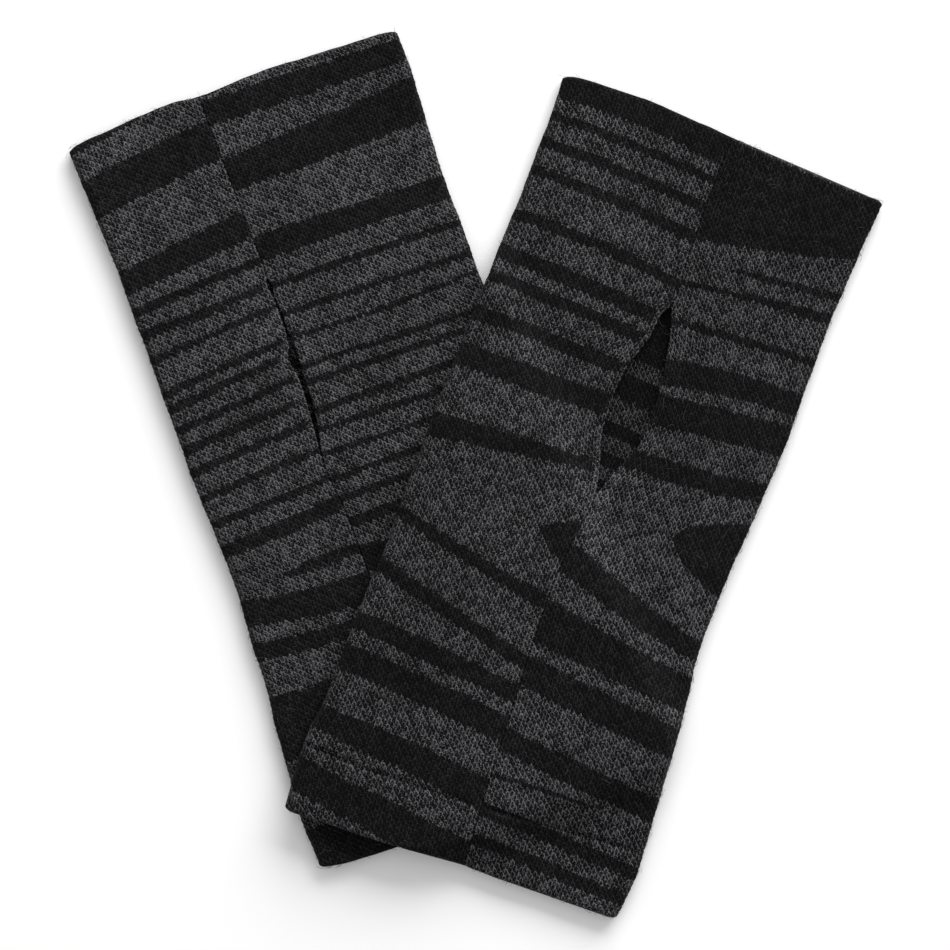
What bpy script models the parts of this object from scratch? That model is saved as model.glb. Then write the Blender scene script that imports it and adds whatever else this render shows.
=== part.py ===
import math

import bmesh
import bpy
import numpy as np

# A pair of knitted wrist warmers laid flat, the upper one across the lower one.
# Each is one panel folded round to a flat tube and joined by a lengthwise seam on top,
# which is left open for the thumb. Sizes are in millimetres and MM turns them to metres.
MM = 0.001

# The cloth and how its layers lie
WALL = 2.0
GAP = 0.3
STACK = 2 * WALL + GAP
FOLD_RADIUS = STACK / 2
FOLD_LIP = 3.0
HEM_ROUNDING = 1.0
BLUNT_END = 0.65
CORNER_RADIUS = 2.5
SEAM_BEVEL = 0.5

# The upper warmer lies on the lower one, reaches a little past its outline at that height, and
# comes down to the surface beside it.
LIFT = STACK + GAP
SHOULDER = 1.5
RAMP = 11.0

# The mesh
ARC_STEPS = 6
END_ROWS = (0.0, 0.15, 0.5, 1.0, 2.5)

LOWER = {
    "name": "lower",
    "corner": (-105.94, 84.87),
    "turn": 19.63,
    "length": 200.0,
    "row_step": 10.0,
    "columns": 4,
    # along the warmer: its two side folds, then the seam's left edge and how far it stands open
    "sides": {
        "along": (0, 10, 20, 30, 60, 100, 120, 140, 150, 160, 170, 185, 200),
        "left": (-0.5, -0.3, 0.3, 0.7, 1.0, 1.3, 2.2, 1.2, 0.9, -0.1, -0.9, -2.0, -1.5),
        "right": (90.6, 90.8, 90.5, 89.8, 89.7, 90.0, 89.2, 90.0, 90.4, 90.9, 91.2, 91.5, 90.9),
    },
    "seam": {
        "along": (0, 20, 40, 50, 60, 70, 80, 90, 96, 102, 112, 125, 200),
        "left": (36.1, 36.4, 36.9, 37.1, 36.9, 36.4, 36.2, 34.7, 34.4, 34.5, 35.7, 36.0, 36.3),
        "open": (0, 0, 0, 0.3, 1.1, 1.5, 1.3, 1.3, 1.1, 0.2, 0, 0, 0),
    },
    # across the warmer: how far its upper and lower hem stand past its length
    "hems": {
        "across": (0, 4, 12, 20, 30, 36, 40, 46, 56, 68, 84, 90),
        "upper": (0.3, 1.0, 1.6, 2.2, 2.6, 1.8, 1.6, 2.3, 2.6, 2.2, 1.4, 1.1),
        "lower": (-0.9, -0.2, 0.3, 0.3, 0.2, 0.0, 0.0, 0.2, 0.3, 0.2, -0.2, -0.6),
    },
}

UPPER = {
    "name": "upper",
    "corner": (23.46, 103.67),
    "turn": -20.85,
    "length": 201.0,
    "row_step": 5.5,
    "columns": 9,
    "sides": {
        "along": (0, 10, 20, 30, 50, 65, 80, 100, 120, 130, 140, 150, 160, 170, 182, 190, 201),
        "left": (-0.6, -0.1, 0, 0, -0.4, -0.7, -0.8, -0.8, -0.6, -0.3, -0.7, -1.0, -0.8, -0.9,
                 -1.8, -1.6, -0.5),
        "right": (89.2, 88.6, 88.0, 87.6, 87.6, 88.0, 87.6, 86.5, 85.9, 86.3, 87.6, 88.8, 89.4,
                  90.4, 91.2, 91.6, 90.6),
    },
    "seam": {
        "along": (0, 20, 35, 46, 50, 55, 60, 65, 71, 78, 85, 90, 95, 100, 110, 122, 140, 160,
                  180, 201),
        "left": (46.1, 46.1, 46.6, 46.9, 45.4, 45.0, 43.7, 42.1, 41.5, 41.7, 42.4, 44.1, 45.5,
                 46.0, 44.9, 43.9, 44.3, 45.6, 46.6, 48.3),
        "open": (0, 0, 0, 0.2, 3.0, 4.9, 7.1, 9.7, 10.8, 10.8, 9.2, 5.2, 2.0, 0.2, 0, 0, 0, 0,
                 0, 0),
    },
    "hems": {
        "across": (0, 4, 12, 22, 36, 40, 48, 56, 68, 80, 89),
        "upper": (0.6, 1.4, 1.8, 2.3, 1.5, 1.5, 0.9, 0.3, -0.2, -0.6, -0.7),
        "lower": (3.7, 3.5, 3.2, 2.8, 1.7, 1.3, 0.9, 1.0, 0.4, 0.3, 0.0),
    },
}

# Charcoal wool, and the darker inner faces that show in the thumb opening
CLOTH_COLOUR = (0.022, 0.022, 0.025)
INNER_COLOUR = (0.012, 0.012, 0.014)
CLOTH_ROUGHNESS = 0.95


def clear_scene():
    for thing in list(bpy.data.objects):
        bpy.data.objects.remove(thing, do_unlink=True)


def read(table, at, column):
    # A smooth curve through a column, read at the table's first column.
    stations = np.array(table[at], float)
    values = np.array(table[column], float)
    slopes = np.gradient(values, stations)

    def curve(x):
        x = min(max(x, stations[0]), stations[-1])
        i = min(int(np.searchsorted(stations, x, side="right")) - 1, len(stations) - 2)
        span = stations[i + 1] - stations[i]
        t = (x - stations[i]) / span
        first = (2 * t**3 - 3 * t**2 + 1) * values[i] + (t**3 - 2 * t**2 + t) * span * slopes[i]
        second = (3 * t**2 - 2 * t**3) * values[i + 1] + (t**3 - t**2) * span * slopes[i + 1]
        return first + second

    return curve


def curves_of(warmer):
    return {
        "left": read(warmer["sides"], "along", "left"),
        "right": read(warmer["sides"], "along", "right"),
        "seam_left": read(warmer["seam"], "along", "left"),
        "seam_open": read(warmer["seam"], "along", "open"),
        "upper_hem": read(warmer["hems"], "across", "upper"),
        "lower_hem": read(warmer["hems"], "across", "lower"),
    }


def rows_of(warmer):
    # Distances along the warmer, closer together where its two ends are rounded.
    length = warmer["length"]
    count = round((length - 2 * END_ROWS[-1]) / warmer["row_step"])
    middle = np.linspace(END_ROWS[-1], length - END_ROWS[-1], count + 1)[1:-1]
    return list(END_ROWS) + list(middle) + [length - d for d in reversed(END_ROWS)]


def rounding(distance, radius):
    # How far a rounded edge has drawn in, at a distance from the end.
    if distance >= radius:
        return 0.0
    return radius - math.sqrt(radius**2 - (radius - distance) ** 2)


def row_frame(warmer, curves, along):
    # One row's side folds, seam edges and how far its section is drawn in.
    from_end = min(along, warmer["length"] - along)
    corner = rounding(from_end, CORNER_RADIUS)
    return {
        "left": curves["left"](along) + corner,
        "right": curves["right"](along) - corner,
        "seam_left": curves["seam_left"](along),
        "seam_right": curves["seam_left"](along) + max(curves["seam_open"](along), GAP),
        "drawn_in": min(rounding(from_end, HEM_ROUNDING), BLUNT_END),
    }


def columns_of(warmer, row):
    # Places across the front's two halves, which the back shares, so that the layers bend alike.
    inner = FOLD_LIP + GAP
    left = np.linspace(row["left"] + inner, row["seam_left"] - SEAM_BEVEL, warmer["columns"])
    right = np.linspace(row["seam_right"] + SEAM_BEVEL, row["right"] - inner, warmer["columns"])
    return list(left), list(right)


def fold_arc(side, start, end, drawn_in, direction):
    # The outer half circle of a side fold, as places across and heights.
    radius = FOLD_RADIUS - drawn_in
    centre = side - direction * FOLD_RADIUS
    angles = np.linspace(math.radians(start), math.radians(end), ARC_STEPS + 1)
    return [
        (centre + direction * radius * math.cos(a), FOLD_RADIUS + radius * math.sin(a))
        for a in angles
    ]


def left_front_section(warmer, row):
    left, _ = columns_of(warmer, row)
    inset = row["drawn_in"]
    under, top = WALL + GAP + inset, STACK - inset
    edge = row["seam_left"]
    section = [(row["left"] + FOLD_LIP - inset, under)]
    section += [(u, under) for u in left]
    section += [(edge, under), (edge, top - SEAM_BEVEL * (1 - inset))]
    section += [(u, top) for u in reversed(left)]
    section += fold_arc(row["left"], 90, -90, inset, -1)
    section += [(row["left"] + FOLD_LIP - inset, inset)]
    return section


def right_front_section(warmer, row):
    _, right = columns_of(warmer, row)
    inset = row["drawn_in"]
    under, top = WALL + GAP + inset, STACK - inset
    edge = row["seam_right"]
    section = [(edge, under)]
    section += [(u, under) for u in right]
    section += [(row["right"] - FOLD_LIP + inset, under), (row["right"] - FOLD_LIP + inset, inset)]
    section += fold_arc(row["right"], -90, 90, inset, 1)
    section += [(u, top) for u in reversed(right)]
    section += [(edge, top - SEAM_BEVEL * (1 - inset))]
    return section


def back_section(warmer, row):
    left, right = columns_of(warmer, row)
    inset = row["drawn_in"]
    across = left + right
    across[0] += inset
    across[-1] -= inset
    section = [(u, WALL - inset) for u in across]
    section += [(u, inset) for u in reversed(across)]
    return section


def past_lower(u, v, curves):
    # How far a place on the surface is outside the lower warmer, in the lower one's own frame.
    beside = max(curves["left"](v) - u, u - curves["right"](v), 0.0)
    beyond = max(-curves["upper_hem"](u) - v, v - LOWER["length"] - curves["lower_hem"](u), 0.0)
    return math.hypot(beside, beyond)


def on_surface(warmer, u, v):
    # A place on a warmer, taken from its own frame to the shared one.
    turn = math.radians(warmer["turn"])
    x = warmer["corner"][0] + u * math.cos(turn) + v * math.sin(turn)
    y = warmer["corner"][1] + u * math.sin(turn) - v * math.cos(turn)
    return x, y


def from_surface(warmer, x, y):
    turn = math.radians(warmer["turn"])
    dx, dy = x - warmer["corner"][0], y - warmer["corner"][1]
    return dx * math.cos(turn) + dy * math.sin(turn), dx * math.sin(turn) - dy * math.cos(turn)


def lift_of(warmer, lower_curves, u, v):
    # The upper warmer's height: on the lower one, down its sides, then flat on the surface.
    if warmer is LOWER:
        return 0.0
    outside = past_lower(*from_surface(LOWER, *on_surface(warmer, u, v)), lower_curves)
    share = min(max(outside - SHOULDER, 0.0) / RAMP, 1.0)
    return LIFT * 0.5 * (1 + math.cos(math.pi * share))


def place_points(warmer, curves, lower_curves, section_of):
    # Every row's section, in the warmer's own frame with its length along -Y.
    sections = []
    for along in rows_of(warmer):
        share = along / warmer["length"]
        section = []
        for u, z in section_of(warmer, row_frame(warmer, curves, along)):
            v = along - (1 - share) * curves["upper_hem"](u) + share * curves["lower_hem"](u)
            section.append((u, -v, z + lift_of(warmer, lower_curves, u, v)))
        sections.append(section)
    return sections


def loft(name, sections, colour):
    # A closed wall through the sections: a grid with its long sides joined and its ends filled.
    around = len(sections[0])
    mesh = bmesh.new()
    bmesh.ops.create_grid(mesh, x_segments=around, y_segments=len(sections) - 1, size=1.0)
    mesh.verts.ensure_lookup_table()
    for j, section in enumerate(sections):
        for i in range(around + 1):
            mesh.verts[j * (around + 1) + i].co = [c * MM for c in section[i % around]]
    bmesh.ops.triangulate(mesh, faces=mesh.faces[:], quad_method="FIXED")
    bmesh.ops.remove_doubles(mesh, verts=mesh.verts[:], dist=0.00001)
    bmesh.ops.holes_fill(mesh, edges=[e for e in mesh.edges if e.is_boundary], sides=0)
    bmesh.ops.recalc_face_normals(mesh, faces=mesh.faces[:])
    data = bpy.data.meshes.new(name)
    mesh.to_mesh(data)
    mesh.free()
    data.shade_smooth()
    data.set_sharp_from_angle(angle=math.radians(50))
    data.materials.append(wool(name, colour))
    piece = bpy.data.objects.new(name, data)
    bpy.context.scene.collection.objects.link(piece)
    return piece


def wool(name, colour):
    material = bpy.data.materials.new(name + "_wool")
    material.use_nodes = True
    shader = material.node_tree.nodes["Principled BSDF"]
    shader.inputs["Base Color"].default_value = (*colour, 1.0)
    shader.inputs["Roughness"].default_value = CLOTH_ROUGHNESS
    shader.inputs["Metallic"].default_value = 0.0
    material.diffuse_color = (*colour, 1.0)
    return material


def build_warmer(warmer, lower_curves):
    # The back and the front's two halves, which carry the side folds, placed by an empty.
    curves = curves_of(warmer)
    pieces = (
        ("back", back_section, INNER_COLOUR),
        ("front_left", left_front_section, CLOTH_COLOUR),
        ("front_right", right_front_section, CLOTH_COLOUR),
    )
    place = bpy.data.objects.new(warmer["name"] + "_place", None)
    bpy.context.scene.collection.objects.link(place)
    place.location = (warmer["corner"][0] * MM, warmer["corner"][1] * MM, 0.0)
    place.rotation_euler = (0.0, 0.0, math.radians(warmer["turn"]))
    for part, section_of, colour in pieces:
        sections = place_points(warmer, curves, lower_curves, section_of)
        piece = loft(warmer["name"] + "_" + part, sections, colour)
        piece.parent = place


def main():
    clear_scene()
    lower_curves = curves_of(LOWER)
    for warmer in (LOWER, UPPER):
        build_warmer(warmer, lower_curves)


main()
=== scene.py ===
import math

import bmesh
import bpy
import numpy as np
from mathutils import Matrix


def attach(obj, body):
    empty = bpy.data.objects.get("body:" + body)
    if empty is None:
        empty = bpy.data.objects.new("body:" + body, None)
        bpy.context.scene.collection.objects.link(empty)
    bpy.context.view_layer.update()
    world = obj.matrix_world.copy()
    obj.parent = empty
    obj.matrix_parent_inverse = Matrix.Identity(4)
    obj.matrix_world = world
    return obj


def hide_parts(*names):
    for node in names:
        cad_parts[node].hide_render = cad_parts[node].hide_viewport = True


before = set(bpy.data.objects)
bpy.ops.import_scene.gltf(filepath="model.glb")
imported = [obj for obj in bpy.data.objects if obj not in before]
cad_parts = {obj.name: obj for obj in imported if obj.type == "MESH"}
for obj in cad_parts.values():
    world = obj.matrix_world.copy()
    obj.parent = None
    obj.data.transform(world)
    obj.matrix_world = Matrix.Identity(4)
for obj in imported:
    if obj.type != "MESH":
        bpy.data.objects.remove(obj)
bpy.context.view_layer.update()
mm = 0.001


# The knit: one loop in every cell of a brick pattern, as this machine-made double knit shows it
knit = {
    "walePitch": 1.80,  # mm from loop to loop across
    "coursePitch": 1.74,  # mm from loop to loop along
    "wall": 2.0,  # mm, as the next five are
    "layerGap": 0.3,
    "foldLip": 2.9,  # how far a side fold reaches under
    "hemRounding": 1.0,
    "bluntEnd": 0.8,  # where an end's rounding stops
    "cornerRadius": 1.1,
    "loopHeight": 0.36,  # mm from the holes in the loops to their tops
    "archRadius": 0.235,  # the arch of a loop, as a part of the pitch
    "archYarn": 0.135,
    "archLean": 0.30,
    "legFade": 2.0,  # how fast a loop's legs sink below the next loop
    "legReach": 1.15,
    "legSkew": 1.1,  # how much later a loop's right leg sinks than its left one
    "finePerLoop": 4,  # mesh steps in one pitch where the cloth shows
    "seamGap": 0.06,
    "seamRounding": 0.25,
    "lipRounding": {"left": 1.25, "right": 0.8},
    "lipRim": {"left": 1.2, "right": 0.0},  # mm of grey loops along a lip
    "lineWander": 0.16,  # mm that folds and hems wander from their drawn line
    "edgeWander": 0.16,  # mm that a band's edge wanders
    "stitchJitter": 0.16,  # mm that single stitches stray over a band's edge
}

# Where the upper warmer comes down from the lower one, in mm: its height there, how far past the
# lower one's outline it keeps it, and over what length it comes down
drape = {"lift": 4.6, "shoulder": 1.5, "ramp": 11.0}

# One row for each dark band: where it starts and how deep it is at the left and right end
# of its half, how far its middle sags, where its tip lies if it doesn't run right across (minus
# if it runs to the left), how slowly the tip widens if it is a point, and how much narrower the
# band is in its middle.
bandColumns = ("leftTop", "leftDepth", "rightTop", "rightDepth", "sag", "tip", "taper", "waist")

# In each warmer, "joins" says which bands of the two halves meet on the back (left, right, how far
# they sag and how much they narrow there), and "patches" are painted shadow: dark ovals of black yarn
# where the thumb opening's inside lies in shade, with their place across and along, and half their width
# and depth. "sides", "seam" and "hems" are in mm: the two side folds, the seam's left edge and how far it
# stands open, and how far both hems stand past the length.

lowerWarmer = {
    "name": "lower",
    "corner": (-105.94, 84.87),
    "turn": 19.63,
    "length": 200.0,
    "shade": 0.0,  # added to the tone of every loop
    "seed": 3,
    "joins": (
        (0, 0, 1, 0), (1, 1, 1, 0), (2, 2, 1, 0), (3, 3, 1, 0), (4, 4, 0.5, 0),
        (5, 5, 0.5, 0), (6, 6, 1, 0), (7, 7, 1, 0), (8, 8, 0.5, 0), (9, 9, 0.5, 0),
        (10, 10, 0.5, 0), (11, 11, 0.5, 0), (12, 12, 1, 0), (13, 13, 1, 0), (15, 14, 1, 0),
        (16, 15, 1, 0), (17, 16, 1, 0), (18, 17, 0, 0),
    ),
    "shadowPatches": {"left": (), "right": (), "back": ()},
    "sides": {
        "along": (0, 10, 20, 30, 60, 100, 120, 140, 150, 160, 170, 185, 200),
        "left": (-0.5, -0.3, 0.3, 0.7, 1.0, 1.3, 2.2, 1.2, 0.9, -0.1, -0.9, -2.0, -1.5),
        "right": (90.6, 90.8, 90.5, 89.8, 89.7, 90.0, 89.2, 90.0, 90.4, 90.9, 91.2, 91.5, 90.9),
    },
    "seam": {
        "along": (0, 20, 40, 50, 52, 54.5, 60, 66, 69, 72, 75, 78, 82, 86, 90, 96, 102, 112,
                  125, 200),
        "left": (36.1, 36.4, 36.9, 37.0, 36.6, 36.9, 37.1, 37.0, 36.6, 35.4, 35.9, 36.3, 36.2,
                 36.0, 35.7, 35.1, 34.6, 35.7, 36.0, 36.3),
        "open": (0, 0, 0, 0.3, 1.1, 0.6, 0.7, 0.8, 1.4, 2.5, 1.8, 1.1, 1.4, 1.3, 1.0, 0.6, 0.2,
                 0, 0, 0),
    },
    "hems": {
        "across": (0, 4, 12, 20, 30, 36, 40, 46, 56, 68, 84, 90),
        "upper": (0.3, 1.0, 1.6, 2.2, 2.6, 1.8, 1.6, 2.3, 2.6, 2.2, 1.4, 1.1),
        "lower": (-0.9, -0.2, 0.3, 0.3, 0.2, 0.0, 0.0, 0.2, 0.3, 0.2, -0.2, -0.6),
    },
    "leftBands": (
        (-6, 8.3, -6, 3.5, -0.4, -32),
        (9.2, 10.5, 5, 10.7, -0.3, 0),
        (34.7, 6.6, 30.1, 7.6, 0.1, 0),
        (45.3, 2.4, 43.2, 2.1, -0.4, 0),
        (51.1, 2.8, 50.2, 2.1, 0.2, 0),
        (58.6, 2.0, 56.4, 1.8, -0.3, 0),
        (68.2, 2.1, 65.3, 1.7, -0.4, 0),
        (72.4, 2.3, 69.2, 2.0, -0.4, 0),
        (77.9, 2.4, 75.4, 1.8, 0, 0),
        (83.6, 2.6, 81, 2.4, -0.2, -33.5, 0.12),
        (89.6, 2.4, 87.7, 2.0, -0.3, 0),
        (97.1, 2.0, 94.7, 2.1, -0.1, 0),
        (104.3, 2.0, 103, 1.9, 0.2, 0),
        (110.9, 3.8, 108.7, 4.3, 0.3, 0),
        (124, 0, 121.7, 3.6, 0, 15),
        (126, 7.0, 130, 8.2, 0.9, 0),
        (137.7, 5.3, 141, 4.0, 0.6, 0),
        (152.7, 17.3, 154, 17.0, 0, 0),
        (188.5, 16, 188.5, 16, 0.5, 0),
    ),
    "rightBands": (
        (-0.5, 7.2, 1.3, 6.2, 0.3, 0),
        (15.9, 8.9, 12, 12, 0.5, 0),
        (37.8, 6.9, 39.2, 6.3, -0.3, 0),
        (50.5, 1.8, 51, 2.0, 0, 0),
        (58.5, 1.7, 59.7, 1.9, 0, 0),
        (65, 1.4, 65, 1.4, 0.9, 0),
        (73.3, 1.6, 75, 1.6, -0.4, 0),
        (77.5, 1.8, 79, 1.5, -0.2, 0),
        (85, 2.0, 85.4, 2.5, 0, 0),
        (90.2, 1.6, 90.8, 2.3, 0.2, 0),
        (96.7, 1.4, 97.5, 2.0, 0.1, 0),
        (103.3, 1.8, 104, 1.8, 0, 0),
        (108.9, 2.0, 109.3, 2.0, 0, 0),
        (115.1, 2.9, 115, 3.8, 0, 0),
        (123, 7.0, 122, 11, 2.0, 0),
        (140, 5.5, 140, 6.0, 0, 0),
        (153, 13, 153, 13, 0, 0),
        (188.5, 16, 188, 16, 0, 0),
    ),
}

upperWarmer = {
    "name": "upper",
    "corner": (23.46, 103.67),
    "turn": -20.85,
    "length": 201.0,
    "shade": -0.12,  # every loop's tone is lowered, which makes this warmer darker
    "seed": 11,
    "joins": (
        (0, 0, 1, 0), (1, None, 1, 0), (2, None, 1, 0), (3, 1, 1, 0), (4, 2, 1, 0),
        (5, 3, 0.5, 0), (6, 4, 0, 0), (7, 5, 3, 0), (8, 6, 1.2, 2), (9, 7, 2, 0),
        (10, 8, 1, 0), (11, 9, 1, 0), (12, 10, 1, 0), (13, 11, 1, 0), (14, 12, 1, 0),
        (15, 13, 0, 0),
    ),
    "shadowPatches": {
        "left": (),
        "right": (),
        # painted shadow: black ovals where the inside of the thumb opening lies in shade
        "back": ((47, 54.5, 11, 8.5), (45, 89.9, 7, 1.9)),
    },
    "sides": {
        "along": (0, 10, 20, 30, 50, 65, 80, 100, 120, 130, 140, 150, 160, 170, 182, 190, 201),
        "left": (-0.6, -0.1, 0, 0, -0.4, -0.7, -0.8, -0.8, -0.6, -0.3, -0.7, -1.0, -0.8, -0.9,
                 -1.8, -1.6, -0.5),
        "right": (89.2, 88.6, 88.0, 87.6, 87.6, 88.0, 87.6, 86.5, 85.9, 86.3, 87.6, 88.8, 89.4,
                  90.4, 91.2, 91.6, 90.6),
    },
    "seam": {
        "along": (0, 20, 35, 46, 50, 55, 60, 65, 71, 78, 85, 90, 95, 100, 110, 122, 140, 160,
                  180, 201),
        "left": (46.1, 46.1, 46.6, 46.9, 45.4, 45.0, 43.7, 42.1, 41.5, 41.7, 42.4, 44.1, 45.5,
                 46.0, 44.9, 43.9, 44.3, 45.6, 46.6, 48.3),
        "open": (0, 0, 0, 0.2, 3.0, 4.9, 7.1, 9.7, 10.8, 10.8, 9.2, 5.2, 2.0, 0.2, 0, 0, 0, 0,
                 0, 0),
    },
    "hems": {
        "across": (0, 4, 12, 22, 36, 40, 48, 56, 68, 80, 89),
        "upper": (0.6, 1.4, 1.8, 2.3, 1.5, 1.5, 0.9, 0.3, -0.2, -0.6, -0.7),
        "lower": (3.7, 3.5, 3.2, 2.8, 1.7, 1.3, 0.9, 1.0, 0.4, 0.3, 0.0),
    },
    "leftBands": (
        (-6, 11.7, -6, 13.3, -1.4, 0),
        (9.5, 2.4, 10.5, 2.3, -0.8, 0),
        (16.7, 2.6, 17.7, 3.0, -0.8, 0),
        (24.3, 2.4, 25.7, 3.3, -0.8, 0),
        (36.7, 2.8, 38.8, 2.9, -1.1, 0),
        (46.1, 4.6, 48.3, 3.7, -0.4, 0),
        (53.7, 3.0, 55, 3.5, -0.3, 0),
        (64, 4.0, 64, 3.7, -0.4, 0),
        (74.3, 6.4, 73.2, 6.0, 0, 0),
        (94.1, 6.6, 90.7, 3.0, -0.4, 0),
        (119.7, 3.0, 128, 4.0, 0.8, 0),
        (134, 4.0, 145, 3.7, 0, 0),
        (149.2, 5.2, 152.8, 5.0, -0.3, 0),
        (158.3, 7.0, 161.3, 7.4, -0.4, 0),
        (175.7, 6.6, 178.3, 8.7, -0.5, 0),
        (190.3, 9.0, 195.5, 10.3, 0, 0),
        (112.5, 0, 106.6, 12.6, 0, 36, 0.7),
    ),
    "rightBands": (
        (-0.7, 28.6, 1.2, 16.5, 0.6, 0),
        (33, 0, 27.5, 2.2, 0, 58),
        (38.7, 1.6, 33.3, 2.7, -0.4, 0),
        (49, 2.0, 45.7, 2.2, -0.4, 0),
        (59.4, 7.0, 55.7, 6.0, -0.9, 0),
        (69, 8.5, 64.7, 8.3, -0.6, 0),
        (84.6, 5.4, 80.9, 5.1, 0.7, 0),
        (102.5, 0, 92.3, 21, 0, 69.8, 0.5),
        (112.3, 8.7, 125.8, 5.2, 1.0, 0),
        (128.7, 12, 135.4, 8.6, 0.4, 0),
        (144.3, 8.2, 148.8, 8.0, 0.2, 0),
        (164.1, 6.2, 167.7, 6.6, 0.2, 0),
        (184.2, 3.9, 186.6, 3.4, 0, 0),
        (192.8, 3.2, 194, 3.6, 0, 0),
        (176.2, 1.6, 174.8, 1.0, -0.3, -80),
    ),
}

# Soft creases and troughs: from, to (mm across and along), half width, depth (minus is a ridge)
creases = {
    "lower": (
        (2, 186, 88, 186, 0.8, 0.4),
        (3, 14, 88, 13, 1.5, 0.10),
        (33, 48, 24, 34, 3.0, 0.22),
        (40, 104, 52, 118, 3.5, 0.25),
        (30, 60, 29, 92, 3.0, 0.20),
        (44, 62, 45, 94, 2.6, 0.18),
        (60, 20, 84, 46, 5.0, 0.15),
        (6, 120, 20, 150, 5.0, 0.18),
    ),
    "upper": (
        (-3, 186.7, 14, 187.3, 0.6, 1.0),
        (12, 187.3, 46, 186.0, 0.6, 0.9),
        (47, 185.5, 68, 184.1, 0.6, 1.1),
        (65, 184.3, 76, 183.4, 0.6, 0.9),
        (73, 183.7, 93, 181.9, 0.6, 1.3),
        (2, 14, 87, 14, 1.5, 0.10),
        (47, 44, 40, 26, 2.6, 0.25),
        (49, 42, 58, 30, 2.6, 0.18),
        (45, 103, 36, 122, 3.4, 0.28),
        (48, 101, 60, 112, 3.4, 0.22),
        (38, 58, 37, 88, 2.4, -0.25),
        (56, 58, 56, 90, 2.4, -0.25),
        (6, 40, 24, 72, 5.0, 0.16),
        (66, 60, 84, 96, 5.0, 0.18),
        (56, 150, 80, 172, 5.0, 0.18),
    ),
}


def addNode(tree, kind, settings, inputs):
    # A node with its settings; an input is a number, a vector or another node's output
    node = tree.nodes.new(kind)
    for key, value in settings.items():
        setattr(node, key, value)
    for key, value in inputs.items():
        if isinstance(value, bpy.types.NodeSocket):
            tree.links.new(value, node.inputs[key])
        else:
            node.inputs[key].default_value = value
    return node


def linearColour(hexCode):
    parts = [int(hexCode[i:i + 2], 16) / 255 for i in (1, 3, 5)]
    return [c / 12.92 if c <= 0.04045 else ((c + 0.055) / 1.055) ** 2.4 for c in parts] + [1.0]


def curve(table, at, column):
    # A smooth curve through one column of a table
    stations = np.array(table[at], float)
    values = np.array(table[column], float)
    slopes = np.gradient(values, stations)

    def read(x):
        x = np.clip(np.asarray(x, float), stations[0], stations[-1])
        i = np.clip(np.searchsorted(stations, x, side="right") - 1, 0, len(stations) - 2)
        span = stations[i + 1] - stations[i]
        t = (x - stations[i]) / span
        first = (2 * t**3 - 3 * t**2 + 1) * values[i] + (t**3 - 2 * t**2 + t) * span * slopes[i]
        second = (3 * t**2 - 2 * t**3) * values[i + 1] + (t**3 - t**2) * span * slopes[i + 1]
        return first + second

    return read


def curvesOf(warmer):
    return {
        "left": curve(warmer["sides"], "along", "left"),
        "right": curve(warmer["sides"], "along", "right"),
        "seam": curve(warmer["seam"], "along", "left"),
        "open": curve(warmer["seam"], "along", "open"),
        "upperHem": curve(warmer["hems"], "across", "upper"),
        "lowerHem": curve(warmer["hems"], "across", "lower"),
    }


def rounding(distance, radius):
    # How far a rounded edge has drawn in, at a distance from the end
    short = np.clip(radius - distance, 0, radius)
    return radius - np.sqrt(radius**2 - short**2)


def wander(x, seed, length):
    # A smooth irregular line between -1 and 1, for edges that aren't ruled
    rng = np.random.default_rng(seed)
    total = 0
    for waves, share in ((1.0, 0.5), (2.3, 0.3), (5.1, 0.2)):
        total = total + share * np.sin(2 * math.pi * (x * waves / length + rng.random()))
    return total


def alongRows(warmer, pitch):
    # Rows on the courses, with a few more where the two ends are rounded
    length = warmer["length"]
    count = round(length / pitch)
    regular = np.linspace(0, length, count + 1)
    ends = np.array([0.1, 0.25])
    return np.sort(np.concatenate([regular, ends, length - ends])), length / count


def toWorld(warmer, u, v, z):
    turn = math.radians(warmer["turn"])
    x = warmer["corner"][0] + u * math.cos(turn) + v * math.sin(turn)
    y = warmer["corner"][1] + u * math.sin(turn) - v * math.cos(turn)
    return np.stack([x, y, z], axis=-1)


def liftOf(warmer, u, v):
    # The upper warmer's height: on the lower one, down its sides, then flat on the surface
    if warmer is lowerWarmer:
        return np.zeros_like(u)
    place = toWorld(warmer, u, v, u * 0)
    turn = math.radians(lowerWarmer["turn"])
    dx = place[..., 0] - lowerWarmer["corner"][0]
    dy = place[..., 1] - lowerWarmer["corner"][1]
    across = dx * math.cos(turn) + dy * math.sin(turn)
    along = dx * math.sin(turn) - dy * math.cos(turn)
    lines = curvesOf(lowerWarmer)
    beside = np.maximum(np.maximum(lines["left"](along) - across, across - lines["right"](along)), 0)
    beyond = np.maximum(
        np.maximum(-lines["upperHem"](across) - along,
                   along - lowerWarmer["length"] - lines["lowerHem"](across)), 0)
    share = np.clip((np.hypot(beside, beyond) - drape["shoulder"]) / drape["ramp"], 0, 1)
    return drape["lift"] * 0.5 * (1 + np.cos(math.pi * share))


def creaseDepth(warmer, u, v):
    # The troughs' depth at each place, fading to nothing at their ends
    depth = np.zeros_like(u)
    for u0, v0, u1, v1, halfWidth, deep in creases[warmer["name"]]:
        du, dv = u1 - u0, v1 - v0
        t = ((u - u0) * du + (v - v0) * dv) / (du**2 + dv**2)
        off = np.hypot(u - u0 - np.clip(t, 0, 1) * du, v - v0 - np.clip(t, 0, 1) * dv)
        fade = np.clip(np.minimum(t, 1 - t) * 6, 0, 1)
        depth += deep * fade * np.exp(-(off / halfWidth) ** 2)
    soft = 0.10 * wander(u + 0.4 * v, warmer["seed"], 47) * wander(v - 0.3 * u, warmer["seed"] + 1, 61)
    return depth + soft


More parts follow.
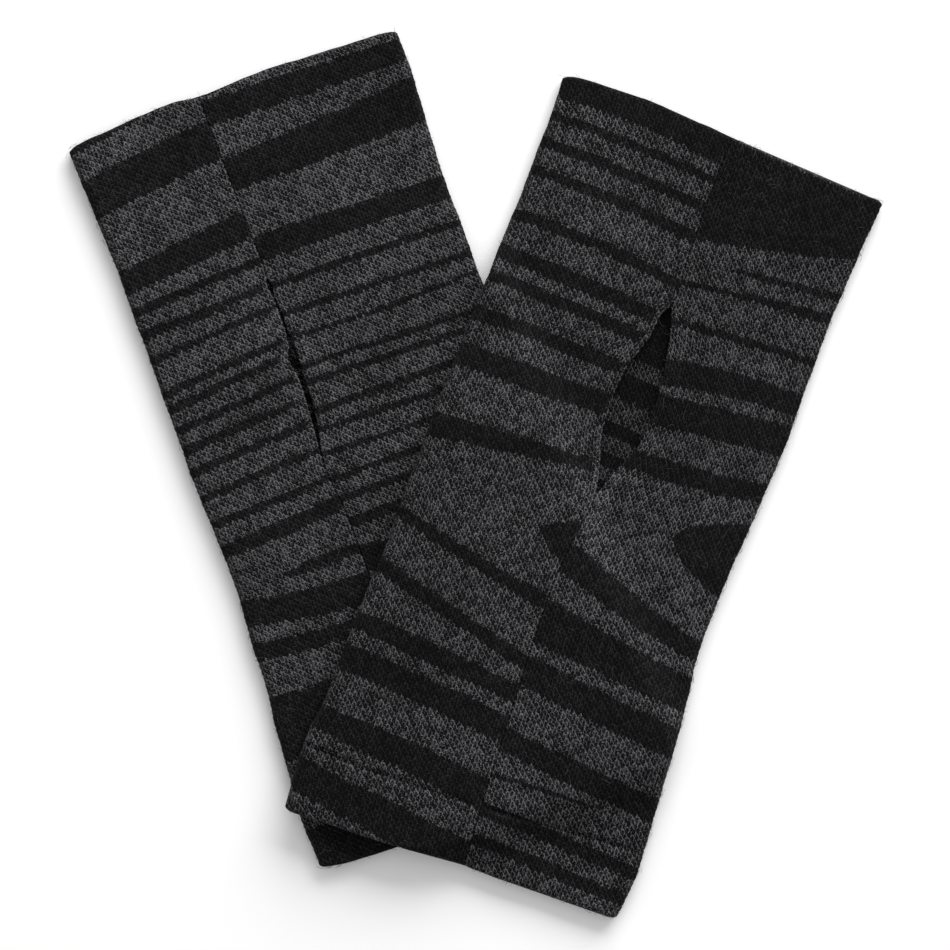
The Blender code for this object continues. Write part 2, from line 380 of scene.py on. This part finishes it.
def loopShape(p, q):
    # Every loop is an arch with two legs that lean; 0 in the holes and 1 on the yarn. The material
    # draws the same loop with its yarn half as wide, pulled a little out of its row.
    best = 0
    for shift in (0, 0.5):
        x = (p + shift + 0.5) % 1 - 0.5
        y = (q + shift + 0.5) % 1 - 0.5
        x = x - knit["archLean"] * y
        reach = np.abs(np.hypot(x, np.minimum(y, 0)) - knit["archRadius"])
        legs = np.clip(knit["legReach"] - knit["legFade"] * np.maximum(y, 0) + knit["legSkew"] * x,
                       0, 1)
        best = np.maximum(best, legs * np.clip(1 - reach / (2 * knit["archYarn"]), 0, 1))
    return best


def darkAt(bands, shadowPatches, u, v, start, end, seed):
    # 1 where a dark band runs, between a half's two sides, and inside a painted shadow oval
    share = np.clip((u - start) / (end - start), 0, 1)
    dark = np.zeros(u.shape, bool)
    for k, row in enumerate(bands):
        band = dict(zip(bandColumns, row))
        top = band["leftTop"] + (band["rightTop"] - band["leftTop"]) * share
        depth = band["leftDepth"] + (band["rightDepth"] - band["leftDepth"]) * share
        middling = 4 * share * (1 - share)
        waist = band.get("waist", 0) * middling
        sag = band["sag"] * middling + waist / 2
        depth = depth - waist
        if band["tip"]:
            far = end if band["tip"] > 0 else start
            t = np.clip((u - abs(band["tip"])) / (far - abs(band["tip"])), 0, 1)
            swell = t ** band["taper"] if band.get("taper") else np.sqrt(1 - (1 - t) ** 2)
            whole = max(band["leftDepth"], band["rightDepth"])
            middle = top + depth / 2
            if band["leftDepth"] == 0 or band["rightDepth"] == 0:
                depth = whole * swell
                top = middle - depth / 2
            else:
                top, depth = middle - depth * swell / 2, depth * swell
        upper = top + sag + knit["edgeWander"] * wander(u, seed * 50 + k, 40)
        lower = top + depth + sag + knit["edgeWander"] * wander(u, seed * 70 + k, 33)
        dark |= (v > upper) & (v < lower) & (depth > 0.4)
    for across, along, halfWidth, halfDepth in shadowPatches:
        dark |= np.hypot((u - across) / halfWidth, (v - along) / halfDepth) < 1
    return dark


def backBands(warmer):
    # The back's bands join the ends that the two halves bring round the side folds
    joined = []
    for left, right, sag, waist in warmer["joins"]:
        top, depth, topEnd, depthEnd = 0, 0, 0, 0
        if left is not None:
            top, depth = warmer["leftBands"][left][:2]
        if right is not None:
            topEnd, depthEnd = warmer["rightBands"][right][2:4]
        else:
            topEnd = top
        joined.append((top, depth, topEnd, depthEnd, sag, 0 if right is not None else -40, 0, waist))
    return joined


def clothMesh(name, points, wales, courses, dark, tone):
    # A closed wall from its rows of sections, with the pattern as face values and a UV map
    rows, around = points.shape[:2]
    grid = bmesh.new()
    bmesh.ops.create_grid(grid, x_segments=around, y_segments=rows - 1, size=1)
    mesh = bpy.data.meshes.new(name)
    grid.to_mesh(mesh)
    grid.free()
    wrapped = np.concatenate([points, points[:, :1]], axis=1)
    mesh.vertices.foreach_set("co", (wrapped * mm).astype(np.float32).ravel())
    corner = np.zeros(len(mesh.loops), np.int32)
    mesh.loops.foreach_get("vertex_index", corner)
    column, row = corner % (around + 1), corner // (around + 1)
    uvMap = mesh.uv_layers.new(name="stitches")
    uvMap.data.foreach_set("uv", np.stack([wales[column], courses[row]], 1).astype(np.float32).ravel())
    for label, values in (("grey", 1.0 - dark), ("tone", tone)):
        layer = mesh.attributes.new(label, "FLOAT", "FACE")
        layer.data.foreach_set("value", values.astype(np.float32).ravel())
    closed = bmesh.new()
    closed.from_mesh(mesh)
    closed.verts.ensure_lookup_table()
    sides = [closed.verts[j * (around + 1) + i] for j in range(rows) for i in (0, around)]
    bmesh.ops.remove_doubles(closed, verts=sides, dist=1e-6)
    ends = bmesh.ops.holes_fill(closed, edges=[e for e in closed.edges if e.is_boundary], sides=0)
    yarnLayer = closed.faces.layers.float["grey"]
    for face in ends["faces"]:
        beside = [f[yarnLayer] for e in face.edges for f in e.link_faces if f != face]
        face[yarnLayer] = sum(beside) / len(beside)
    bmesh.ops.recalc_face_normals(closed, faces=closed.faces)
    closed.to_mesh(mesh)
    closed.free()
    mesh.shade_smooth()
    piece = bpy.data.objects.new(name, mesh)
    bpy.context.scene.collection.objects.link(piece)
    print(name, len(mesh.polygons), "faces", len(ends["faces"]), "ends")
    return piece


def stitchValues(u, v, wales, courses, bands, shadowPatches, start, end, seed):
    # Each face takes the yarn and the tone of the loop that it belongs to
    rng = np.random.default_rng(seed)
    toneCount = 8191
    jitter = rng.normal(0, knit["stitchJitter"], u.shape)
    dark = darkAt(bands, shadowPatches, u, v + jitter, start, end, seed)
    p = (wales[:-1] + wales[1:])[None, :] / 2
    q = (courses[:-1] + courses[1:])[:, None] / 2
    r, s = np.floor(p + q + 0.5), np.floor(p - q + 0.5)
    loopP, loopQ = ((r + s) / 2 + p) / 2, ((r - s) / 2 + q) / 2
    order = np.argsort(wales)
    i = np.clip(np.searchsorted(wales[order], loopP - 1e-6), 0, len(wales) - 1)
    i = order[i]
    j = np.clip(np.searchsorted(courses, loopQ - 1e-6), 0, len(courses) - 1)
    # The primes scatter the list of tones over the loops
    tones = rng.random(toneCount)
    tonePick = (r.astype(int) * 127 + s.astype(int) * 1931) % toneCount
    return dark[j, i].astype(float), tones[tonePick]


def frontHalf(warmer, side):
    # One half of the front with its side fold; places across are measured in from the fold
    lines = curvesOf(warmer)
    rows, step = alongRows(warmer, knit["coursePitch"] / knit["finePerLoop"])
    courses = rows / step / knit["finePerLoop"]
    fromEnd = np.minimum(rows, warmer["length"] - rows)
    corner = rounding(fromEnd, knit["cornerRadius"])
    inset = np.minimum(rounding(fromEnd, knit["hemRounding"]), knit["bluntEnd"])
    gape = np.clip(lines["open"](rows), 0, None)
    seamLeft = lines["seam"](rows)
    middle = seamLeft + knit["layerGap"] / 2
    closed = np.clip(1 - (gape - 0.3) / 0.6, 0, 1)
    strays = knit["lineWander"] * wander(rows, warmer["seed"] + 40 + len(side), 23)
    corner = corner + strays
    if side == "left":
        edge, direction = lines["left"](rows) + corner, 1
        seam = closed * (middle - knit["seamGap"] / 2) + (1 - closed) * seamLeft
    else:
        edge, direction = lines["right"](rows) - corner, -1
        seamRight = seamLeft + np.maximum(gape, knit["layerGap"])
        seam = closed * (middle + knit["seamGap"] / 2) + (1 - closed) * seamRight
    width = np.abs(seam - edge)
    radius = (2 * knit["wall"] + knit["layerGap"]) / 2
    fineStep = knit["walePitch"] / knit["finePerLoop"]
    topCount = round((np.median(width) - radius) / fineStep)
    arcCount = round(math.pi * radius / fineStep)
    underCount = round(np.median(width) / knit["walePitch"])

    across, height, outU, outZ, wales = [], [], [], [], []

    def column(w, z, normalU, normalZ, wale):
        across.append(w)
        height.append(z)
        outU.append(normalU)
        outZ.append(normalZ)
        wales.append(wale)

    top = 2 * radius - inset
    under = knit["wall"] + knit["layerGap"] + inset
    lip = knit["foldLip"] - inset
    bend = knit["seamRounding"] * closed + knit["lipRounding"][side] * (1 - closed)
    # The underside, from the fold's lip to the seam
    for k in range(underCount + 1):
        t = k / underCount
        drop = 0.5 * rounding((1 - t) * (width - lip), bend)
        column(lip + (width - lip) * t, under + drop, 0, 0, -1 - underCount + k)
    # The seam's edge
    column(width, (under + top) / 2 + 0.2, 0, 0, -0.25)
    # The top, from the seam to the fold
    for k in range(topCount + 1):
        t = k / topCount
        w = width + (radius - width) * t
        drop = rounding(width - w, bend)
        column(w, top - drop, 0, 1, k / knit["finePerLoop"])
    # The fold, down to the surface and a little way under
    for k in range(1, arcCount + 1):
        angle = math.pi / 2 + math.pi * k / arcCount
        r = radius - inset
        column(radius + r * math.cos(angle), radius + r * math.sin(angle),
               math.cos(angle), math.sin(angle), (topCount + k) / knit["finePerLoop"])
    column(lip, inset, 0, 0, (topCount + arcCount + 2) / knit["finePerLoop"])

    def block(values):
        return np.stack([np.broadcast_to(np.asarray(x, float), rows.shape) for x in values], axis=1)

    w, z, nu, nz = block(across), block(height), block(outU), block(outZ)
    wales = -direction * np.array(wales, float)
    share = (rows / warmer["length"])[:, None]
    u = edge[:, None] + direction * w
    v = rows[:, None] - (1 - share) * lines["upperHem"](u) + share * lines["lowerHem"](u)
    uneven = knit["lineWander"] * wander(u, warmer["seed"] + 60, 31)
    v = v + uneven * (2 * share - 1) ** 9

    # Loops stand out from the surface where it shows, and fade on the side that rests below
    shown = np.clip((nz + 0.75) / 0.5, 0, 1) * np.hypot(nu, nz)
    relief = (loopShape(wales[None, :], courses[:, None]) - 0.55) * knit["loopHeight"] * shown
    calm = np.clip(fromEnd / 0.6, 0.25, 1)[:, None]
    relief = relief * calm
    u = u + direction * nu * relief
    z = z + nz * relief
    hemSoft = np.clip((z - 2.4) / 1.9, 0, 1) * (nz > 0)
    z = z - creaseDepth(warmer, u, v) * hemSoft
    z = np.maximum(z, 0.0)
    points = toWorld(warmer, u, v, z + liftOf(warmer, u, v))
    start, end = (edge[:, None], seam[:, None]) if side == "left" else (seam[:, None], edge[:, None])
    waleEnds = np.append(wales, wales[-1] - direction * 0.5)
    uWrapped = np.concatenate([u, u[:, :1]], axis=1)
    vWrapped = np.concatenate([v, v[:, :1]], axis=1)
    dark, tone = stitchValues(uWrapped, vWrapped, waleEnds, courses,
                              warmer[side + "Bands"], warmer["shadowPatches"][side], start, end,
                              warmer["seed"] + (1 if side == "left" else 2))
    # The opening's left lip is edged with grey loops that run along it
    fromLip = (width[:, None] - w)[:-1] - knit["lipRim"][side] * (1 + wander(rows, 9, 11))[:-1, None]
    gaping = (gape[:-1, None] > 0.6) & (fromLip < 0) & (nz[:-1] > 0.5)
    dark[gaping] = 0
    name = warmer["name"] + "Front" + side.capitalize()
    piece = clothMesh(name, points, waleEnds, courses, dark, tone + warmer["shade"])
    flatWidth = float(np.median(width)) - radius + math.pi * radius
    return piece, flatWidth


def backPanel(warmer):
    # The back, which lies under the front's halves and shows in the thumb opening
    lines = curvesOf(warmer)
    rows, step = alongRows(warmer, knit["coursePitch"] / 2)
    courses = rows / step / 2
    fromEnd = np.minimum(rows, warmer["length"] - rows)
    corner = rounding(fromEnd, knit["cornerRadius"])
    inset = np.minimum(rounding(fromEnd, knit["hemRounding"]), knit["bluntEnd"])
    inner = knit["foldLip"] + knit["layerGap"]
    left = lines["left"](rows) + corner + inner
    right = lines["right"](rows) - corner - inner
    count = round(float(np.median(right - left)) / (knit["walePitch"] / 2))
    t = np.concatenate([np.linspace(0, 1, count + 1), np.linspace(1, 0, count + 1)])
    upSide = np.concatenate([np.ones(count + 1), np.zeros(count + 1)])[None, :]
    u = left[:, None] + (right - left)[:, None] * t[None, :]
    share = (rows / warmer["length"])[:, None]
    v = rows[:, None] - (1 - share) * lines["upperHem"](u) + share * lines["lowerHem"](u)
    wales = np.concatenate([np.arange(count + 1), np.arange(count + 1) + count + 1]) / 2.0
    loops = loopShape(wales[None, :], courses[:, None])
    topSide = knit["wall"] - inset[:, None] - (1 - loops) * knit["loopHeight"]
    under = inset[:, None] + (1 - loops) * knit["loopHeight"] * 0.8
    z = np.where(upSide > 0, topSide, under)
    points = toWorld(warmer, u, v, z + liftOf(warmer, u, v))
    waleEnds = np.append(wales, wales[-1] + 0.5)
    uWrapped = np.concatenate([u, u[:, :1]], axis=1)
    vWrapped = np.concatenate([v, v[:, :1]], axis=1)
    dark, tone = stitchValues(uWrapped, vWrapped, waleEnds, courses,
                              backBands(warmer), warmer["shadowPatches"]["back"],
                              left[:, None], right[:, None], warmer["seed"] + 5)
    piece = clothMesh(warmer["name"] + "Back", points, waleEnds, courses, dark, tone * 0.8)
    return piece, float(np.median(right - left))


# Woollen spun yarn, double knit and lightly fulled: it scatters light softly. Its colour is painted shade
# in the holes between the loops, partly the black ground yarn showing there, and the yarn's own colour on
# the loop tops.
wool = {
    "greyYarn": "#68676A",
    # The two hole colours are painted shade between the loops; under grey loops the black ground yarn
    # partly shows there
    "greyHoleShade": "#0E0E0F",
    "blackYarn": "#2B2B2D",
    "blackHoleShade": "#0C0C0C",
    "looseFibre": "#4C4C4F",
    "roughness": 0.9,
    "specular": 0.03,
    "sheen": 0.012,
    "drift": 0.2,  # how far loops are pulled from their rows, as a part of the pitch
    "strandSize": (0.13, 0.22, 1.0),  # across and along a strand, as parts of the pitch
    "strandTurn": -0.45,
    "grain": 0.60,  # how much the strands, and the loops, show
    "relief": 0.70,
    "dyeScale": 45.0,
    "dyeRange": (0.84, 1.16),
}


fuzz = {
    "hairs": 1500,  # on each warmer
    "thickness": 0.06,  # mm
    "length": (0.9, 3.6),  # mm, from the shortest to the longest
    "stand": 0.35,  # how high a hair arches off the cloth
    "curl": 0.9,
}


def strayFibres(warmer, pieces):
    # Single fibres that have worked out of the yarn, most of them lying along the cloth
    rng = np.random.default_rng(warmer["seed"] + 80)
    hair = bpy.data.curves.new(warmer["name"] + "Fuzz", "CURVE")
    hair.dimensions = "3D"
    hair.bevel_depth = fuzz["thickness"] / 2 * mm
    hair.bevel_resolution = 0
    hair.use_fill_caps = True
    for piece in pieces:
        mesh = piece.data
        places = np.zeros(len(mesh.vertices) * 3, np.float32)
        normals = np.zeros(len(mesh.vertices) * 3, np.float32)
        mesh.vertices.foreach_get("co", places)
        mesh.vertices.foreach_get("normal", normals)
        places, normals = places.reshape(-1, 3), normals.reshape(-1, 3)
        openAir = np.flatnonzero((normals[:, 2] > -0.2) & (places[:, 2] > 0.0012))
        side = openAir[np.abs(normals[openAir, 2]) < 0.55]
        count = fuzz["hairs"] // len(pieces)
        roots = np.concatenate([rng.choice(openAir, count // 2), rng.choice(side, count - count // 2)])
        for root in roots:
            at, normal = places[root] / mm, normals[root]
            along = rng.normal(size=3)
            along -= normal * along.dot(normal)
            along /= np.linalg.norm(along)
            across = np.cross(normal, along)
            reach = rng.uniform(*fuzz["length"]) * rng.uniform(0.4, 1)
            stand = fuzz["stand"] * rng.uniform(0.3, 1.3)
            bend = rng.uniform(-1, 1) * fuzz["curl"]
            t = np.linspace(0, 1, 5)[:, None]
            points = (at + along * t * reach + across * bend * t**2 * reach
                      + normal * (stand * np.sin(math.pi * t * 0.95) * reach**0.5 - 0.05))
            points[:, 2] = np.maximum(points[:, 2], 0.1)
            spline = hair.splines.new("POLY")
            spline.points.add(len(points) - 1)
            spline.points.foreach_set("co", np.append(points * mm, np.ones((len(points), 1)), 1).ravel())
    shape = bpy.data.objects.new(hair.name, hair)
    mesh = bpy.data.meshes.new_from_object(shape)
    bpy.data.objects.remove(shape)
    tidy = bmesh.new()
    tidy.from_mesh(mesh)
    bmesh.ops.remove_doubles(tidy, verts=tidy.verts, dist=1e-7)
    bmesh.ops.recalc_face_normals(tidy, faces=tidy.faces)
    tidy.to_mesh(mesh)
    tidy.free()
    piece = bpy.data.objects.new(warmer["name"] + "Fuzz", mesh)
    bpy.context.scene.collection.objects.link(piece)
    print(piece.name, len(mesh.polygons), "faces")
    return piece


# A few loose fibres of the same wool. A real one is 0.02 mm thick; these are drawn as small
# bunches, so that they show as the pale blur along the cloth's edges.
def looseWool(name):
    material = bpy.data.materials.new(name)
    material.use_nodes = True
    shader = material.node_tree.nodes["Principled BSDF"]
    shader.inputs["Base Color"].default_value = linearColour(wool["looseFibre"])
    shader.inputs["Roughness"].default_value = wool["roughness"]
    shader.inputs["Specular IOR Level"].default_value = wool["specular"]
    return material


# Its second argument darkens every colour of the knit, as painted shade for the inside of the tubes
def knittedWool(name, shadeFactor=1.0):
    material = bpy.data.materials.new(name)
    material.use_nodes = True
    tree = material.node_tree
    tree.nodes.clear()
    calc, vector = "ShaderNodeMath", "ShaderNodeVectorMath"
    uv = addNode(tree, "ShaderNodeUVMap", {"uv_map": "stitches"}, {}).outputs["UV"]
    # Yarn is never even: the loops are pulled a little out of their rows
    drift = addNode(tree, "ShaderNodeTexNoise", {"noise_dimensions": "2D"},
                    {"Vector": uv, "Scale": 1.1, "Detail": 2.0}).outputs["Color"]
    pulled = addNode(tree, vector, {"operation": "MULTIPLY_ADD"},
                     {0: drift, 1: [2 * wool["drift"]] * 3, 2: [-wool["drift"]] * 3}).outputs[0]
    at = addNode(tree, vector, {"operation": "ADD"}, {0: uv, 1: pulled}).outputs[0]
    # Each loop is an arch with two leaning legs; every second row lies half a loop to the side
    arches = []
    for shift in (0.5, 0.0):
        moved = addNode(tree, vector, {"operation": "ADD"}, {0: at, 1: (shift, shift, 0)}).outputs[0]
        cell = addNode(tree, vector, {"operation": "FRACTION"}, {0: moved}).outputs[0]
        split = addNode(tree, "ShaderNodeSeparateXYZ", {}, {"Vector": cell}).outputs
        y = addNode(tree, calc, {"operation": "SUBTRACT"}, {0: split["Y"], 1: 0.5}).outputs[0]
        flat = addNode(tree, calc, {"operation": "SUBTRACT"}, {0: split["X"], 1: 0.5}).outputs[0]
        x = addNode(tree, calc, {"operation": "MULTIPLY_ADD"},
                    {0: y, 1: -knit["archLean"], 2: flat}).outputs[0]
        above = addNode(tree, calc, {"operation": "MINIMUM"}, {0: y, 1: 0.0}).outputs[0]
        spot = addNode(tree, "ShaderNodeCombineXYZ", {}, {"X": x, "Y": above}).outputs[0]
        reach = addNode(tree, vector, {"operation": "LENGTH"}, {0: spot}).outputs["Value"]
        off = addNode(tree, calc, {"operation": "SUBTRACT"}, {0: reach, 1: knit["archRadius"]}).outputs[0]
        aside = addNode(tree, calc, {"operation": "ABSOLUTE"}, {0: off}).outputs[0]
        yarn = addNode(tree, calc, {"operation": "MULTIPLY_ADD"},
                       {0: aside, 1: -1 / knit["archYarn"], 2: 1.0}).outputs[0]
        slope = addNode(tree, calc, {"operation": "MULTIPLY_ADD"},
                        {0: x, 1: knit["legSkew"], 2: knit["legReach"]}).outputs[0]
        below = addNode(tree, calc, {"operation": "MAXIMUM"}, {0: y, 1: 0.0}).outputs[0]
        legs = addNode(tree, calc, {"operation": "MULTIPLY_ADD", "use_clamp": True},
                       {0: below, 1: -knit["legFade"], 2: slope}).outputs[0]
        arches.append(addNode(tree, calc, {"operation": "MULTIPLY"}, {0: yarn, 1: legs}).outputs[0])
    loops = addNode(tree, calc, {"operation": "MAXIMUM", "use_clamp": True},
                    {0: arches[0], 1: arches[1]}).outputs[0]
    # Fibres of lighter and darker wool, carded together and lying along the loops. They are
    # 0.02 mm thick and too fine to show, so they are drawn as strands of about 0.25 mm.
    laid = addNode(tree, "ShaderNodeMapping", {"vector_type": "TEXTURE"},
                   {"Vector": at, "Rotation": (0, 0, wool["strandTurn"]),
                    "Scale": wool["strandSize"]}).outputs[0]
    fibres = addNode(tree, "ShaderNodeTexNoise", {"noise_dimensions": "2D"},
                     {"Vector": laid, "Scale": 1.0, "Detail": 1.0, "Roughness": 0.5}).outputs["Fac"]
    tone = addNode(tree, "ShaderNodeAttribute", {"attribute_name": "tone"}, {}).outputs["Fac"]
    grey = addNode(tree, "ShaderNodeAttribute", {"attribute_name": "grey"}, {}).outputs["Fac"]
    grain = addNode(tree, calc, {"operation": "MULTIPLY_ADD"},
                    {0: fibres, 1: 3 * wool["grain"], 2: -1.5 * wool["grain"]}).outputs[0]
    toned = addNode(tree, calc, {"operation": "MULTIPLY_ADD"}, {0: tone, 1: 0.4, 2: -0.2}).outputs[0]
    strands = addNode(tree, calc, {"operation": "ADD"}, {0: grain, 1: toned}).outputs[0]
    height = addNode(tree, calc, {"operation": "MULTIPLY_ADD"},
                     {0: loops, 1: wool["relief"], 2: strands}).outputs[0]
    lit = addNode(tree, "ShaderNodeMapRange", {"interpolation_type": "SMOOTHSTEP"},
                  {"Value": height, "From Min": 0.0, "From Max": 1.0}).outputs["Result"]
    # Black yarn and grey yarn, each darkened to its own painted shade in the holes between the loops
    # (partly black ground yarn)
    yarns = []
    for deep, tip in (("blackHoleShade", "blackYarn"), ("greyHoleShade", "greyYarn")):
        low, high = linearColour(wool[deep]), linearColour(wool[tip])
        yarns.append(addNode(tree, "ShaderNodeMix", {"data_type": "RGBA"}, {
            0: lit,
            6: [c * shadeFactor for c in low[:3]] + [1.0],
            7: [c * shadeFactor for c in high[:3]] + [1.0],
        }).outputs[2])
    stripes = addNode(tree, "ShaderNodeMix", {"data_type": "RGBA"},
                      {0: grey, 6: yarns[0], 7: yarns[1]}).outputs[2]
    # The dye's light and dark drift, a few centimetres wide
    place = addNode(tree, "ShaderNodeTexCoord", {}, {}).outputs["Object"]
    dye = addNode(tree, "ShaderNodeTexNoise", {},
                  {"Vector": place, "Scale": wool["dyeScale"], "Detail": 2.0})
    tint = addNode(tree, "ShaderNodeMapRange", {},
                   {"Value": dye.outputs["Fac"], "From Min": 0.3, "From Max": 0.7,
                    "To Min": wool["dyeRange"][0], "To Max": wool["dyeRange"][1]}).outputs["Result"]
    dyed = addNode(tree, vector, {"operation": "SCALE"}, {0: stripes, "Scale": tint}).outputs[0]
    # The yarn stands up from the holes, with a nap of fibres on it
    stands = addNode(tree, "ShaderNodeBump", {},
                     {"Height": height, "Strength": 0.6, "Distance": 0.0003}).outputs["Normal"]
    shader = addNode(tree, "ShaderNodeBsdfPrincipled", {}, {
        "Base Color": dyed,
        "Roughness": wool["roughness"],
        "Specular IOR Level": wool["specular"],
        "Sheen Weight": wool["sheen"],
        "Sheen Roughness": 0.5,
        "Normal": stands,
    })
    addNode(tree, "ShaderNodeOutputMaterial", {}, {"Surface": shader.outputs["BSDF"]})
    return material


studio = {
    "paper": "#F3F3F3",
    "worldStrength": 0.66,
    "floorSize": 12.0,  # metres, as the lamp's and the camera's places are
    "keyPlace": (0.52, 1.22, 0.66),
    "keyWidth": 1.4,
    "keyHeight": 0.9,
    "keyPower": 34.0,  # watts
    "photoScale": 0.2614,  # mm of the real thing in one of the photo's 950 pixels
    "photoCentre": (-0.18, -0.15),  # mm
    "cameraHeight": 1.6,
    "clothHeight": 0.0045,  # where the photo's scale holds
    "sensor": 36.0,  # mm
}


def aim(thing, target):
    # Turn a lamp so that it shines at a place
    direction = np.array(target, float) - np.array(thing.location)
    x, y, z = direction
    flat = math.hypot(x, y)
    thing.rotation_euler = (math.atan2(flat, -z), 0, math.atan2(y, x) - math.pi / 2)


def addStudio():
    scene = bpy.context.scene
    scene.view_settings.view_transform = "Standard"
    world = bpy.data.worlds.new("studioWorld")
    world.use_nodes = True
    world.node_tree.nodes["Background"].inputs["Color"].default_value = (1, 1, 1, 1)
    world.node_tree.nodes["Background"].inputs["Strength"].default_value = studio["worldStrength"]
    scene.world = world
    sheet = bmesh.new()
    bmesh.ops.create_grid(sheet, x_segments=1, y_segments=1, size=studio["floorSize"] / 2)
    floorMesh = bpy.data.meshes.new("paperFloor")
    sheet.to_mesh(floorMesh)
    sheet.free()
    floor = bpy.data.objects.new("paperFloor", floorMesh)
    scene.collection.objects.link(floor)
    # Matt white background paper: it scatters all light and has no shine of its own
    paper = bpy.data.materials.new("mattPaper")
    paper.use_nodes = True
    coat = paper.node_tree.nodes["Principled BSDF"].inputs
    coat["Base Color"].default_value = linearColour(studio["paper"])
    coat["Roughness"].default_value = 0.9
    coat["Specular IOR Level"].default_value = 0.0
    floorMesh.materials.append(paper)
    key = bpy.data.lights.new("softbox", "AREA")
    key.shape = "RECTANGLE"
    key.size = studio["keyWidth"]
    key.size_y = studio["keyHeight"]
    key.energy = studio["keyPower"]
    keyLamp = bpy.data.objects.new("softbox", key)
    keyLamp.location = studio["keyPlace"]
    aim(keyLamp, (0, 0, 0))
    scene.collection.objects.link(keyLamp)
    camera = bpy.data.cameras.new("photoCamera")
    span = 950 * studio["photoScale"] * mm
    camera.sensor_width = studio["sensor"]
    camera.lens = studio["sensor"] * (studio["cameraHeight"] - studio["clothHeight"]) / span
    eye = bpy.data.objects.new("photoCamera", camera)
    eye.location = (studio["photoCentre"][0] * mm, studio["photoCentre"][1] * mm, studio["cameraHeight"])
    scene.collection.objects.link(eye)
    scene.camera = eye
    print("studio ready")


def addWarmer(warmer, cloth, shadedLining, loose):
    prefix = warmer["name"]
    fronts = []
    for side in ("left", "right"):
        piece, flatWidth = frontHalf(warmer, side)
        piece.data.materials.append(cloth)
        fronts.append(piece)
        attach(piece, "root")
        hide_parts(prefix + "_front_" + side)
    fibres = strayFibres(warmer, fronts)
    fibres.data.materials.append(loose)
    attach(fibres, "root")
    back, flatWidth = backPanel(warmer)
    back.data.materials.append(shadedLining)
    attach(back, "root")
    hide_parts(prefix + "_back")


addStudio()
cloth = knittedWool("fulledWoolKnit")
# The backs take a darker copy of the knit: painted shade for the inside of each tube, seen through the
# thumb openings
shadedLining = knittedWool("fulledWoolKnitShadedInside", 0.65)
loose = looseWool("looseWoolFibres")
addWarmer(lowerWarmer, cloth, shadedLining, loose)
addWarmer(upperWarmer, cloth, shadedLining, loose)
print("cloth ready")
